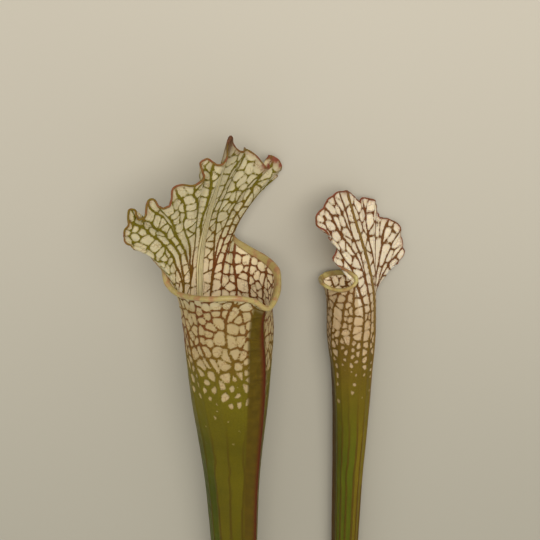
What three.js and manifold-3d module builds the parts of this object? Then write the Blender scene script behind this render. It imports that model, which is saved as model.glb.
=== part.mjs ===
// White-topped pitcher plant: two pitcher leaves on one rhizome, lifted bare-rooted and laid on its back.
// Millimetres and degrees. +X is to the right, +Y runs from the roots to the hoods, +Z is up.
import * as THREE from 'three';
import { mergeVertices } from 'three/addons/utils/BufferGeometryUtils.js';
import Module from 'manifold-3d';

const wasm = await Module();
wasm.setup();

// Driving dimensions shared by both leaves
const FOOT_GAP = 0.35;          // clearance of a leaf foot in its sheath
const FOOT_CURVE = 3.5;         // power by which the foot bends aside
const LIP_COLUMNS = 2;          // columns between two points of the lip
const HEAD_ROWS = 8;            // rows from the throat to the rim
const LIP_ROWS = 5;             // steps round the rolled lip
const WAVE_LEAN = 0.25;         // second harmonic that makes each ruffle lean over
const RUFFLE_POWER = 5;         // how fast the ruffles die away from the margin
const SCALLOP_POWER = 4;        // how fast the scallops of the outline do
const SPIKE_WIDTH = 0.25;       // of the tip, in rows of the rim
const LIP_PULL = 0.9;           // pull of the tube and of the rim on the lip's lines, in their own length
const LIP_END = [-1, 1.5];      // rim rows about the hood's ends over which the roll thins to the margin
const FOOT_ROUND = [[0.55, 0.5], [0.88, 0.3]];  // width and drop of the foot's rings, in its own radius
const FOOT_TIP = 0.58;          // length of the rounded foot, in its own radius
const TIP_POWER = 10;           // how fast the tip dies away from the margin

// The view in which the hoods' outlines are drawn, tilted from straight down. Its right is +X.
const VIEW = { aim: [0, 0, 25], distance: 380, tilt: 22 };

// The large leaf. Lip rows hold the bearing round the tube from its back, then the angle round the mouth,
// the height and the way beyond the mouth's radius. Outline rows hold the bearing and the distance to the
// leaf's side, then the point's place in the view, right and up of its middle, and the ruffle's height.
const LARGE = {
  name: 'large_pitcher',
  color: 0x7c7a35,
  mouth: [-17.6, -13.2, 32.4],   // where the leaf's axis passes the mouth
  yaw: 45, pitch: 4, lean: 0,
  length: 330,                  // mouth to foot
  throat: -12,                  // where the round tube ends and the head begins
  hollowEnd: -290,
  wall: 0.9,
  lipRadius: 1.15,
  mouthRadius: 20.5,
  lipFar: [[-180, -180, 8.5, 3], [-158, -158, 10.5, 1], [-132, -135, 12.5, 0], [-106, -120, 15, 0],
    [-82, -92, 16, 0], [-64, -67, 18, 0.5]],
  outline: [
    [-50, -18, -15, 14, 0], [-44.5, -21.5, -15, 21.5, 0], [-39, -26, -10.5, 28.5, 0],
    [-34, -32, -5, 34, 0.3], [-29, -37, 0.5, 38.5, 0.6], [-25, -39.5, 4, 40.5, 1], [-22, -37.5, 4, 45, 1.2],
    [-19, -33, 1, 47.5, 1.3], [-15.5, -28, -2, 44, 1.5], [-10.5, -17, -8.5, 50.5, 1.4],
    [-5, -8, -13, 50.5, 1.2], [0, 0, -16.5, 52.5, 0.9], [4, 4.5, -20.5, 45.5, 1.3],
    [8.5, 9.5, -27, 45.5, 1.5], [12.5, 14.5, -30.5, 37.5, 1.6], [16.5, 21, -39, 34, 1.6],
    [20, 25.5, -44.5, 27, 1.6], [23.5, 30, -50, 28.5, 1.5], [26.5, 33.5, -54.5, 22.5, 1.4],
    [29.5, 36, -58.5, 24.5, 1.3], [33, 38, -61, 18.5, 1.2], [36.5, 38, -61.5, 12.5, 0.9],
    [40, 34.5, -57.5, 9.5, 0.5], [44, 26.5, -51.5, 6.5, 0.2], [49, 20, -46, 0.5, 0],
  ],
  lipNear: [[64, 52, 12, 3.5], [82, 70, 10.5, 0], [106, 112, 14, 0], [132, 145, 15, 0], [158, 167, 12.5, 1]],
  hoodColumns: 3,               // columns between two points of the outline
  spike: 3.6,
  neck: [26, 56],               // bearings over which the hood's lines turn into the lip's
  fanFrom: [8, -12, 24],        // point that the hood's lines leave at the margin
  lipSlope: 28,                 // how far below the rim the lip's lines point back to the axis
  hoodPull: 1.35,               // pull of the tube on the hood's lines, in their own length
  radius: [[-330, 4.2], [-290, 4.4], [-240, 5.6], [-180, 8.6], [-128, 10.9], [-114, 11.4], [-91, 12.5],
    [-69, 14.5], [-47, 16.9], [-21, 18.8], [-2, 19.2], [4, 19.2]],
  wing: [[-330, 0.6], [-280, 2.5], [-150, 4], [-40, 3.8], [-16, 2.6], [0, 0]],
  wingHalf: 11,
  ribs: [0, 26, 50, 82, 106, 132, 158],
  ribHeight: 0.35, ribHalf: 3.5,
  ribShow: [[-330, 0.3], [-250, 1], [-60, 1], [-12, 0.6]],
  footShift: [-5.5, 5.5],
  bend: [[-330, 0], [0, 0]],
  floorSoft: 0.6,
  tubeRows: [-330, -280, -230, -180, -130, -88, -55, -30],
};

// The small leaf, turned the other way
const SMALL = {
  name: 'small_pitcher',
  color: 0x77662f,
  mouth: [35.8, -14.9, 12.9],
  yaw: -115, pitch: 0.5, lean: -1,
  length: 325,
  throat: -8,
  hollowEnd: -285,
  wall: 0.8,
  lipRadius: 0.85,
  mouthRadius: 11.2,
  lipFar: [[-180, -180, 4, 3], [-158, -134, 6, 2], [-132, -112, 5, 0.5], [-106, -88, 5.5, 0],
    [-80, -69, 7.5, 0], [-58, -62, 10, -0.5]],
  outline: [
    [-50, -9.5, 34.5, -1.5, 0], [-44, -14, 26.5, 4, 0.5], [-38, -13.5, 28.5, 9.5, 0.6],
    [-32, -20, 23.5, 15, 0.9], [-25, -20, 20, 21, 0.9], [-17, -15, 22.5, 27.5, 0.8],
    [-8, -7.5, 28, 32.5, 0.5], [0, 0, 32, 33, 0.4], [3, 3, 35, 32, 0.5],
    [6.5, 5.5, 37, 29, 0.9], [10.5, 9.5, 40, 30.5, 1], [14.5, 12, 43, 30, 0.9],
    [18.5, 14.5, 45.5, 26.5, 1], [22.5, 15, 45, 23, 1], [27, 17, 50, 21.5, 1],
    [31.5, 19, 54, 18.5, 0.9], [36, 19.5, 56, 12.5, 0.9], [41, 19, 56, 7.5, 0.8],
    [46, 17, 54.5, 3.5, 0.7], [50.5, 13.5, 50, 1.5, 0.4], [55.5, 9.5, 45.5, -1.5, 0],
  ],
  lipNear: [[80, 77, 4.5, 0], [106, 113, 4.5, 0], [132, 144, 5, 0.5], [158, 173, 5.5, 1.5]],
  hoodColumns: 2,
  spike: 0.5,
  neck: [30, 62],
  fanFrom: [0, -8, 8],
  lipSlope: 34,
  hoodPull: 1.2,
  radius: [[-325, 3.4], [-290, 3.5], [-230, 4.2], [-180, 5], [-135, 5.8], [-99, 6.4], [-77, 7.2],
    [-55, 8.1], [-39, 9.1], [-29, 10.2], [-19, 10.9], [0, 10.9]],
  wing: [[-325, 0.5], [-250, 2], [-150, 2.4], [-60, 2.2], [-20, 1], [0, 0]],
  wingHalf: 12,
  ribs: [0, 25, 50, 80, 106, 132, 158],
  ribHeight: 0.25, ribHalf: 4,
  ribShow: [[-325, 0.3], [-230, 1], [-40, 1], [-8, 0.6]],
  footShift: [-5, 11],
  bend: [[-325, 0], [-135, -0.5], [-99, -0.8], [-77, -1.3], [-55, -1.6], [-39, -1.3], [-29, -0.8],
    [-19, -0.4], [0, 0]],
  floorSoft: 0.5,
  tubeRows: [-325, -275, -225, -170, -120, -77, -42, -20],
};

// The rhizome, its leaf sheaths, scale stubs and roots
const RHIZOME = {
  color: 0x5a4030,
  ends: [-31, 52],
  axisY: -351, axisZ: 7.3,
  radius: 9,
  sides: 16, rings: 18,
  scarHeight: 0.7, scarPitch: 6.5,
  sheathTop: 16, sheathWall: 2, sheathEdge: 0.8,
};
const ROOTS = {
  count: 13, sides: 6, steps: 9,
  length: [38, 70], radius: [1.5, 0.6],
  seed: 11,
};
const STUBS = [
  { x: -24, tilt: -24, length: 15, radius: 3.6 },
  { x: 9, tilt: 4, length: 18, radius: 4.2 },
  { x: 44, tilt: 26, length: 13, radius: 3.4 },
];

const radians = THREE.MathUtils.degToRad;
const clamp = THREE.MathUtils.clamp;
const smooth = THREE.MathUtils.smoothstep;

function vec(x, y, z) {
  return new THREE.Vector3(x, y, z);
}

// Cubic through [x, value] pairs with slopes taken from the neighbours, flat beyond the ends
function table(pairs, x) {
  const last = pairs.length - 1;
  const at = clamp(x, pairs[0][0], pairs[last][0]);
  let i = 0;
  while (i < last - 1 && at >= pairs[i + 1][0]) i += 1;
  const slope = (k) => {
    const a = pairs[Math.max(k - 1, 0)];
    const b = pairs[Math.min(k + 1, last)];
    return (b[1] - a[1]) / (b[0] - a[0]);
  };
  const width = pairs[i + 1][0] - pairs[i][0];
  const f = (at - pairs[i][0]) / width;
  const rise = f * f * (3 - 2 * f);
  return (1 - rise) * pairs[i][1] + rise * pairs[i + 1][1]
    + (f ** 3 - 2 * f * f + f) * width * slope(i) + (f ** 3 - f * f) * width * slope(i + 1);
}

// Catmull-Rom curve through rim rows; the bearing gains 360 degrees with each turn
function rimAt(rows, a) {
  const n = rows.length;
  const i = Math.floor(a);
  const f = a - i;
  const row = (k) => {
    const turns = Math.floor((i + k) / n);
    const r = rows[i + k - turns * n];
    return [r[0] + 360 * turns, r[1], r[2], r[3]];
  };
  const [p, q, r, s] = [row(-1), row(0), row(1), row(2)];
  return q.map((_, k) => 0.5 * (2 * q[k] + (r[k] - p[k]) * f
    + (2 * p[k] - 5 * q[k] + 4 * r[k] - s[k]) * f * f
    + (3 * q[k] - p[k] - 3 * r[k] + s[k]) * f ** 3));
}

// Angle between a bearing and another, 0 to 180 degrees
function apart(bearing, other) {
  return Math.abs(THREE.MathUtils.euclideanModulo(bearing - other + 180, 360) - 180);
}

// A point of the tube, a distance out from the middle of its wall; the wing runs down the front
function tubePoint(leaf, bearing, t, out = 0) {
  let q = table(leaf.radius, t) - leaf.wall / 2 + out;
  for (const rib of leaf.ribs) {
    const near = Math.min(apart(bearing, rib), apart(bearing, -rib));
    q += leaf.ribHeight * table(leaf.ribShow, t) * Math.exp(-((near / leaf.ribHalf) ** 2));
  }
  q += table(leaf.wing, t) * Math.exp(-((apart(bearing, 180) / leaf.wingHalf) ** 1.4));
  const share = clamp(-t / leaf.length, 0, 1) ** FOOT_CURVE;
  const turn = radians(bearing);
  return vec(leaf.footShift[0] * share + Math.sin(turn) * q,
    leaf.footShift[1] * share + table(leaf.bend, t) - Math.cos(turn) * q, t);
}

// A point of the leaf's middle surface before its ruffles. a counts rim rows; v runs from -1 at the
// foot to 0 at the throat and 1 at the rim. Each line of the head is a Hermite cubic from the tube
// to the calm rim, so the hood fans out from its neck and the lip flares. The scallops of the outline
// come in near the margin.
function plainPoint(leaf, a, v) {
  const [bearing, side, forward, up] = rimAt(leaf.calmRim, a);
  if (v <= 0) return tubePoint(leaf, bearing, leaf.throat + v * (leaf.length + leaf.throat));
  const rim = vec(side, forward, up);
  const scallop = vec(...rimAt(leaf.rim, a).slice(1)).sub(rim);
  const start = tubePoint(leaf, bearing, leaf.throat);
  const below = tubePoint(leaf, bearing, leaf.throat - 1);
  const reach = rim.distanceTo(start);
  const lip = smooth(apart(bearing, 0), ...leaf.neck);
  const pull = (hood) => THREE.MathUtils.lerp(hood, LIP_PULL, lip) * reach;
  const leave = start.clone().sub(below).normalize().multiplyScalar(pull(leaf.hoodPull));
  const from = vec(...leaf.fanFrom).lerp(vec(0, 0, up - leaf.lipSlope), lip);
  const arrive = rim.clone().sub(from).normalize().multiplyScalar(pull(1));
  const rise = v * v * (3 - 2 * v);
  return start.multiplyScalar(1 - rise).addScaledVector(rim, rise)
    .addScaledVector(leave, v ** 3 - 2 * v * v + v).addScaledVector(arrive, v ** 3 - v * v)
    .addScaledVector(scallop, v ** SCALLOP_POWER);
}

// Unit normal of a surface function, pointing out of the tube and out of the hood's back
function normalOf(surface, a, v, step) {
  const across = surface(a + step, v).sub(surface(a - step, v));
  const along = surface(a, v).sub(surface(a, v - step));
  return across.cross(along).normalize();
}

// Axes of a leaf in the plant's frame: side, forward and up its own length
function leafAxes(leaf) {
  const yaw = radians(leaf.yaw);
  const pitch = radians(leaf.pitch);
  const lean = radians(leaf.lean);
  const across = vec(1, 0, 0);
  const lengthwise = vec(0, Math.cos(pitch), Math.sin(pitch));
  const upward = vec(0, -Math.sin(pitch), Math.cos(pitch));
  const up = lengthwise.clone().multiplyScalar(Math.cos(lean)).addScaledVector(across, Math.sin(lean));
  const level = across.clone().multiplyScalar(Math.cos(lean)).addScaledVector(lengthwise, -Math.sin(lean));
  const forward = level.clone().multiplyScalar(Math.sin(yaw)).addScaledVector(upward, Math.cos(yaw));
  const side = level.multiplyScalar(-Math.cos(yaw)).addScaledVector(upward, Math.sin(yaw));
  return { side, forward, up };
}

// From a leaf's own axes to the plant's frame
function toPlant(leaf, p) {
  const { side, forward, up } = leafAxes(leaf);
  return vec(...leaf.mouth).addScaledVector(side, p.x).addScaledVector(forward, p.y)
    .addScaledVector(up, p.z);
}

// A point of a hood's outline in the leaf's own axes: it lies on the line of sight through its place in
// the view, where that line is the given distance to the leaf's side
function seenPoint(leaf, side, right, up) {
  const tilt = radians(VIEW.tilt);
  const aim = vec(...VIEW.aim);
  const eye = aim.clone().addScaledVector(vec(0, Math.sin(tilt), Math.cos(tilt)), VIEW.distance);
  const sight = aim.add(vec(right, up * Math.cos(tilt), -up * Math.sin(tilt))).sub(eye);
  const axes = leafAxes(leaf);
  const from = eye.sub(vec(...leaf.mouth));
  const share = (side - from.dot(axes.side)) / sight.dot(axes.side);
  const point = from.clone().addScaledVector(sight, share);
  return [side, point.dot(axes.forward), point.dot(axes.up)];
}

// A leaf's rim as rows of bearing, side, forward and up: far lip, hood, near lip. The calm rim is the
// same with each point of the hood averaged with its neighbours, which takes the scallops out.
function withRim(leaf) {
  const lipRow = ([bearing, angle, up, beyond]) => {
    const radius = leaf.mouthRadius + beyond;
    return [bearing, radius * Math.sin(radians(angle)), -radius * Math.cos(radians(angle)), up];
  };
  const hoodRow = ([bearing, side, right, up]) => [bearing, ...seenPoint(leaf, side, right, up)];
  const rim = [...leaf.lipFar.map(lipRow), ...leaf.outline.map(hoodRow), ...leaf.lipNear.map(lipRow)];
  const first = leaf.lipFar.length;
  const last = first + leaf.outline.length - 1;
  const calmRim = rim.map((row, k) => {
    if (k <= first || k >= last) return row;
    return row.map((value, c) => (c === 0 ? value : (rim[k - 1][c] + 2 * value + rim[k + 1][c]) / 4));
  });
  const ruffle = rim.map((_, k) => [k, k < first || k > last ? 0 : leaf.outline[k - first][4]]);
  ruffle.push([rim.length, 0]);
  const apex = rim.findIndex((row) => row[0] === 0);
  return { ...leaf, rim, calmRim, ruffle, apex, hood: [first, last] };
}

// The middle surface in the plant's frame, ruffled and pressed gently on the floor. The ruffles are one
// wave to two rows of the rim.
function leafPoint(leaf, a, v) {
  const plain = (x, y) => plainPoint(leaf, x, y);
  const rows = leaf.rim.length;
  const p = plain(a, v);
  const at = THREE.MathUtils.euclideanModulo(a, rows);
  const wave = -Math.cos(Math.PI * a) + WAVE_LEAN * Math.sin(2 * Math.PI * a + 1);
  const lift = table(leaf.ruffle, at) * wave * clamp(v, 0, 1) ** RUFFLE_POWER;
  p.addScaledVector(normalOf(plain, a, Math.min(v, 0.999), 1e-3), lift);
  const world = toPlant(leaf, p);
  const rest = leaf.wall / 2;
  world.z = rest + leaf.floorSoft * Math.log1p(Math.exp((world.z - rest) / leaf.floorSoft));
  return world;
}

// Half thickness of the margin: a thin edge on the hood, a roll round the mouth
function rollRadius(leaf, a) {
  const [first, last] = leaf.hood;
  const into = Math.min(a - first, last - a);
  return THREE.MathUtils.lerp(leaf.lipRadius, leaf.wall / 2, smooth(into, ...LIP_END));
}

// One closed leaf: outer face from foot to rim, round the lip, and back down the inside
function leafGeometry(leaf) {
  const columns = [];
  leaf.rim.forEach((_, k) => {
    const inHood = k >= leaf.hood[0] && k < leaf.hood[1];
    const count = inHood ? leaf.hoodColumns : LIP_COLUMNS;
    for (let j = 0; j < count; j += 1) columns.push(k + j / count);
  });
  const surface = (x, y) => leafPoint(leaf, x, y);
  const face = (a, v, out) => surface(a, v).addScaledVector(normalOf(surface, a, v, 2e-3), out);
  const share = (t) => (t - leaf.throat) / (leaf.length + leaf.throat);
  const half = leaf.wall / 2;
  const axisPoint = (t) => {
    const bent = clamp(-t / leaf.length, 0, 1) ** FOOT_CURVE;
    return toPlant(leaf, vec(leaf.footShift[0] * bent, leaf.footShift[1] * bent + table(leaf.bend, t), t));
  };
  const rows = [];

  // Rounded foot, then the tube's outer face
  const footRing = columns.map((a) => face(a, -1, half));
  const footCentre = axisPoint(-leaf.length);
  const footRadius = leaf.radius[0][1];
  for (const [width, drop] of FOOT_ROUND) {
    rows.push(footRing.map((p) => p.clone().sub(footCentre).multiplyScalar(width).add(footCentre)
      .addScaledVector(leafAxes(leaf).up, -drop * footRadius)));
  }
  for (const t of leaf.tubeRows) rows.push(columns.map((a) => face(a, share(t), half)));

  // Head's outer face, ending where the roll meets the wall
  const rolls = columns.map((a) => {
    const radius = rollRadius(leaf, a);
    const turn = 2 * Math.PI - Math.acos(1 - leaf.wall / radius);
    const edge = surface(a, 1);
    const speed = edge.distanceTo(surface(a, 0.98)) / 0.02;
    const stop = 1 + (radius * Math.sin(turn)) / speed;
    return { radius, turn, edge, stop, out: normalOf(surface, a, 1, 2e-3) };
  });
  const spikeAt = (a) => leaf.spike * Math.exp(-(((a - leaf.apex) / SPIKE_WIDTH) ** 2));
  const tipped = (p, a, v) => p.addScaledVector(
    surface(a, 1).sub(surface(a, 0.96)).normalize(), spikeAt(a) * v ** TIP_POWER);
  for (let j = 0; j <= HEAD_ROWS; j += 1) {
    rows.push(columns.map((a, i) => {
      const v = (rolls[i].stop * j) / HEAD_ROWS;
      return tipped(face(a, v, half), a, v);
    }));
  }
  for (let k = LIP_ROWS - 1; k > 0; k -= 1) {
    rows.push(columns.map((a, i) => {
      const roll = rolls[i];
      const turn = (roll.turn * k) / LIP_ROWS;
      const on = surface(a, 1).sub(surface(a, 0.998)).normalize();
      const p = roll.edge.clone().addScaledVector(roll.out, roll.radius - half)
        .addScaledVector(roll.out, -roll.radius * Math.cos(turn))
        .addScaledVector(on, roll.radius * Math.sin(turn));
      return tipped(p, a, 1);
    }));
  }

  // Inner face down to the end of the hollow
  const turnOver = rows.length;
  for (let j = HEAD_ROWS; j >= 0; j -= 1) {
    rows.push(columns.map((a) => tipped(face(a, j / HEAD_ROWS, -half), a, j / HEAD_ROWS)));
  }
  const inside = leaf.tubeRows.filter((t) => t > leaf.hollowEnd).reverse();
  for (const t of [...inside, leaf.hollowEnd]) rows.push(columns.map((a) => face(a, share(t), -half)));

  const footTip = footCentre.clone().addScaledVector(leafAxes(leaf).up, -FOOT_TIP * footRadius);
  return closedGrid(rows, footTip, axisPoint(leaf.hollowEnd - 2), turnOver);
}

// Closed surface over rows of rings, with a point at each end. From the row turnOver on, the squares
// are split along the other diagonal, so that both faces of the wall are split alike.
function closedGrid(rows, first, last, turnOver = rows.length) {
  const n = rows[0].length;
  const points = [first, ...rows.flat(), last];
  const at = (r, i) => 1 + r * n + (i % n);
  const faces = [];
  for (let i = 0; i < n; i += 1) faces.push(0, at(0, i + 1), at(0, i));
  for (let r = 0; r < rows.length - 1; r += 1) {
    for (let i = 0; i < n; i += 1) {
      const [a, b, c, d] = [at(r, i), at(r, i + 1), at(r + 1, i + 1), at(r + 1, i)];
      if (r < turnOver) faces.push(a, b, c, a, c, d);
      else faces.push(a, b, d, b, c, d);
    }
  }
  const end = rows.length - 1;
  for (let i = 0; i < n; i += 1) faces.push(points.length - 1, at(end, i), at(end, i + 1));
  const geometry = new THREE.BufferGeometry();
  geometry.setAttribute('position', new THREE.Float32BufferAttribute(points.flatMap((p) => p.toArray()), 3));
  geometry.setIndex(faces);
  return geometry;
}

function toSolid(geometry) {
  const bare = geometry.clone();
  bare.deleteAttribute('normal');
  bare.deleteAttribute('uv');
  const merged = mergeVertices(bare, 1e-4);
  return new wasm.Manifold(new wasm.Mesh({
    numProp: 3,
    vertProperties: new Float32Array(merged.attributes.position.array),
    triVerts: new Uint32Array(merged.index.array),
  }));
}

function toGeometry(solid) {
  const mesh = solid.getMesh();
  const geometry = new THREE.BufferGeometry();
  geometry.setAttribute('position', new THREE.BufferAttribute(new Float32Array(mesh.vertProperties), 3));
  geometry.setIndex(new THREE.BufferAttribute(new Uint32Array(mesh.triVerts), 1));
  return geometry;
}

// Repeatable random numbers from 0 to 1
function randomFrom(seed) {
  let state = seed;
  return () => {
    state = (state * 1664525 + 1013904223) % 4294967296;
    return state / 4294967296;
  };
}

// A tapered, wandering rod along a list of points
function rodGeometry(path, radii, sides) {
  const rows = path.map((p, k) => {
    const next = path[Math.min(k + 1, path.length - 1)];
    const ahead = next.clone().sub(path[Math.max(k - 1, 0)]).normalize();
    const level = vec(0, 0, 1).cross(ahead).normalize();
    const over = ahead.clone().cross(level);
    return Array.from({ length: sides }, (_, i) => {
      const turn = (2 * Math.PI * i) / sides;
      return p.clone().addScaledVector(level, radii[k] * Math.cos(turn))
        .addScaledVector(over, radii[k] * Math.sin(turn));
    });
  });
  const tail = path[path.length - 1].clone().multiplyScalar(2).sub(path[path.length - 2]);
  return closedGrid(rows, path[0].clone(), path[path.length - 1].clone().lerp(tail, 0.3));
}

// The rhizome's body: a lying rod with rounded ends and ring scars
function rhizomeBody() {
  const [left, right] = RHIZOME.ends;
  const path = [];
  const radii = [];
  for (let k = 0; k <= RHIZOME.rings; k += 1) {
    const share = k / RHIZOME.rings;
    const x = THREE.MathUtils.lerp(left, right, share);
    const round = Math.sqrt(clamp(1 - (2 * share - 1) ** 6, 0.12, 1));
    const scar = RHIZOME.scarHeight * Math.abs(Math.sin((Math.PI * x) / RHIZOME.scarPitch));
    path.push(vec(x, RHIZOME.axisY + 1.2 * Math.sin(x / 17), RHIZOME.axisZ));
    radii.push((RHIZOME.radius - scar - 1.2 * share) * round);
  }
  return toSolid(rodGeometry(path, radii, RHIZOME.sides));
}

// Rows round a leaf's foot between two heights, a distance out from its outer face
function footRows(leaf, steps) {
  const bearings = Array.from({ length: 24 }, (_, i) => i * 15 - 180);
  return steps.map(([t, out, slant]) => bearings.map((bearing) => toPlant(leaf, tubePoint(leaf, bearing,
    t + slant * Math.cos(radians(bearing)), leaf.wall / 2 + out))));
}

function footSolid(leaf, steps) {
  const rows = footRows(leaf, steps);
  const middle = (ring) => ring.reduce((sum, p) => sum.add(p), vec(0, 0, 0)).divideScalar(ring.length);
  return toSolid(closedGrid(rows, middle(rows[0]), middle(rows[rows.length - 1])));
}

// The sheath that clasps a leaf's foot, and the room inside it
function sheath(leaf) {
  const foot = -leaf.length;
  return footSolid(leaf, [
    [foot - 6, RHIZOME.sheathWall, 0],
    [foot + RHIZOME.sheathTop / 2, RHIZOME.sheathWall * 0.8, 0],
    [foot + RHIZOME.sheathTop, RHIZOME.sheathEdge, 3],
  ]);
}

function footRoom(leaf) {
  const foot = -leaf.length;
  const end = FOOT_TIP * leaf.radius[0][1] + FOOT_GAP;
  return footSolid(leaf, [
    [foot - end, -0.35 * leaf.radius[0][1], 0],
    [foot - 0.3 * end, FOOT_GAP, 0],
    [foot, FOOT_GAP, 0],
    [foot + RHIZOME.sheathTop + 8, FOOT_GAP, 0],
  ]);
}

// Old scale stubs beside the leaves: short flattened cones with blunt tips
function scaleStub({ x, tilt, length, radius }) {
  const rise = radians(tilt);
  const path = [0, 0.3, 0.6, 0.85, 1].map((s) => vec(x + Math.sin(rise) * length * s * 1.3,
    RHIZOME.axisY + Math.cos(rise) * (3 + length * s), RHIZOME.axisZ + 1.5 * s * s));
  return toSolid(rodGeometry(path, [1, 1, 0.85, 0.6, 0.3].map((w) => w * radius), 8));
}

// Roots leave the far side of the rhizome, sink to the floor and wander over it
function root(index, random) {
  const share = (index + 0.5) / ROOTS.count;
  const x = THREE.MathUtils.lerp(RHIZOME.ends[0] + 6, RHIZOME.ends[1] - 6, share) + 3 * (random() - 0.5);
  const length = THREE.MathUtils.lerp(ROOTS.length[0], ROOTS.length[1], random());
  const heading = (share - 0.5) * 1.5 + 0.5 * (random() - 0.5);
  const high = RHIZOME.axisZ * (0.75 + 0.5 * ((index * 2) % 3) / 2);
  const bend = 0.5 + random();
  const phase = 6 * random();
  const path = [];
  const radii = [];
  for (let k = 0; k < ROOTS.steps; k += 1) {
    const s = k / (ROOTS.steps - 1);
    const radius = THREE.MathUtils.lerp(ROOTS.radius[0], ROOTS.radius[1], s);
    const wander = 4 * s * Math.sin(bend * 5 * s + phase);
    const level = radius * 1.15 + (high - radius) * Math.exp(-3.2 * s * s) * (1 - smooth(s, 0.6, 1));
    path.push(vec(x + Math.sin(heading) * length * s + Math.cos(heading) * wander,
      RHIZOME.axisY - 2 - Math.cos(heading) * length * s + Math.sin(heading) * wander,
      level));
    radii.push(radius);
  }
  return toSolid(rodGeometry(path, radii, ROOTS.sides));
}

// Everything of the rhizome joined, with room for the two feet and a flat spot to lie on
function rhizomeGeometry() {
  const random = randomFrom(ROOTS.seed);
  let solid = rhizomeBody();
  for (const leaf of [LARGE, SMALL]) solid = solid.add(sheath(leaf));
  for (const stub of STUBS) solid = solid.add(scaleStub(stub));
  for (let i = 0; i < ROOTS.count; i += 1) solid = solid.add(root(i, random));
  for (const leaf of [LARGE, SMALL]) solid = solid.subtract(footRoom(leaf));
  const below = new THREE.BoxGeometry(400, 400, 40).translate(0, RHIZOME.axisY, -20);
  return toGeometry(solid.subtract(toSolid(below)));
}

function meshOf(name, geometry, color, roughness) {
  const mesh = new THREE.Mesh(geometry, new THREE.MeshStandardMaterial({ color, roughness, metalness: 0 }));
  mesh.name = name;
  return mesh;
}

const plant = new THREE.Group();
for (const leaf of [LARGE, SMALL]) {
  plant.add(meshOf(leaf.name, leafGeometry(withRim(leaf)), leaf.color, 0.5));
}
plant.add(meshOf('rhizome', rhizomeGeometry(), RHIZOME.color, 0.9));

// The origin is under the middle of the plant, on the surface that it lies on
const box = new THREE.Box3().setFromObject(plant);
plant.position.set(-(box.min.x + box.max.x) / 2, -(box.min.y + box.max.y) / 2, -box.min.z);

export default plant;
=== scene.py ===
# White-topped pitcher plant: two pitcher leaves on one rhizome, lifted bare-rooted and laid on its back
# on a pale floor. Shapes are worked out in millimetres in the frame of the CAD parts.
import bpy
import numpy as np
from functools import partial
from mathutils import Matrix, Vector
from numpy import (arange, array, clip, concatenate, cos, cross, exp, linspace, maximum, minimum, pi,
                   radians, sin, stack, where)


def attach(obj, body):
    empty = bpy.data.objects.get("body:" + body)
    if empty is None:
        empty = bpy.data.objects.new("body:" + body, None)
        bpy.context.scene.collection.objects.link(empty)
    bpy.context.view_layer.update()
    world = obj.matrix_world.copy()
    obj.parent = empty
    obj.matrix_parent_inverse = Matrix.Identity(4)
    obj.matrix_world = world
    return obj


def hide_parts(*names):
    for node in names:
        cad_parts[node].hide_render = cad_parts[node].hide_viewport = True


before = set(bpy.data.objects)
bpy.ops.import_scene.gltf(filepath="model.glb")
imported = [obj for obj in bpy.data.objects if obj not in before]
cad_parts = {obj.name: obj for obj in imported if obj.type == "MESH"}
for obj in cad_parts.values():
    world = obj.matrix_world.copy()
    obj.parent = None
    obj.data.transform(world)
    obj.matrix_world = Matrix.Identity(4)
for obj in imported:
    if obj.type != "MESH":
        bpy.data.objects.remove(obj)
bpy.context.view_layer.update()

MM = 0.001
PLACE = array([-9.55, 178.31, 0.0])  # from the leaves' own drawing to the origin under the plant

# The photograph's view, tilted from straight down, in which the hoods' outlines are drawn
VIEW = dict(aim=(0, 0, 25.0), distance=380.0, tilt=22.0)
LENS = 60.0  # of the camera, which has the same view

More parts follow.
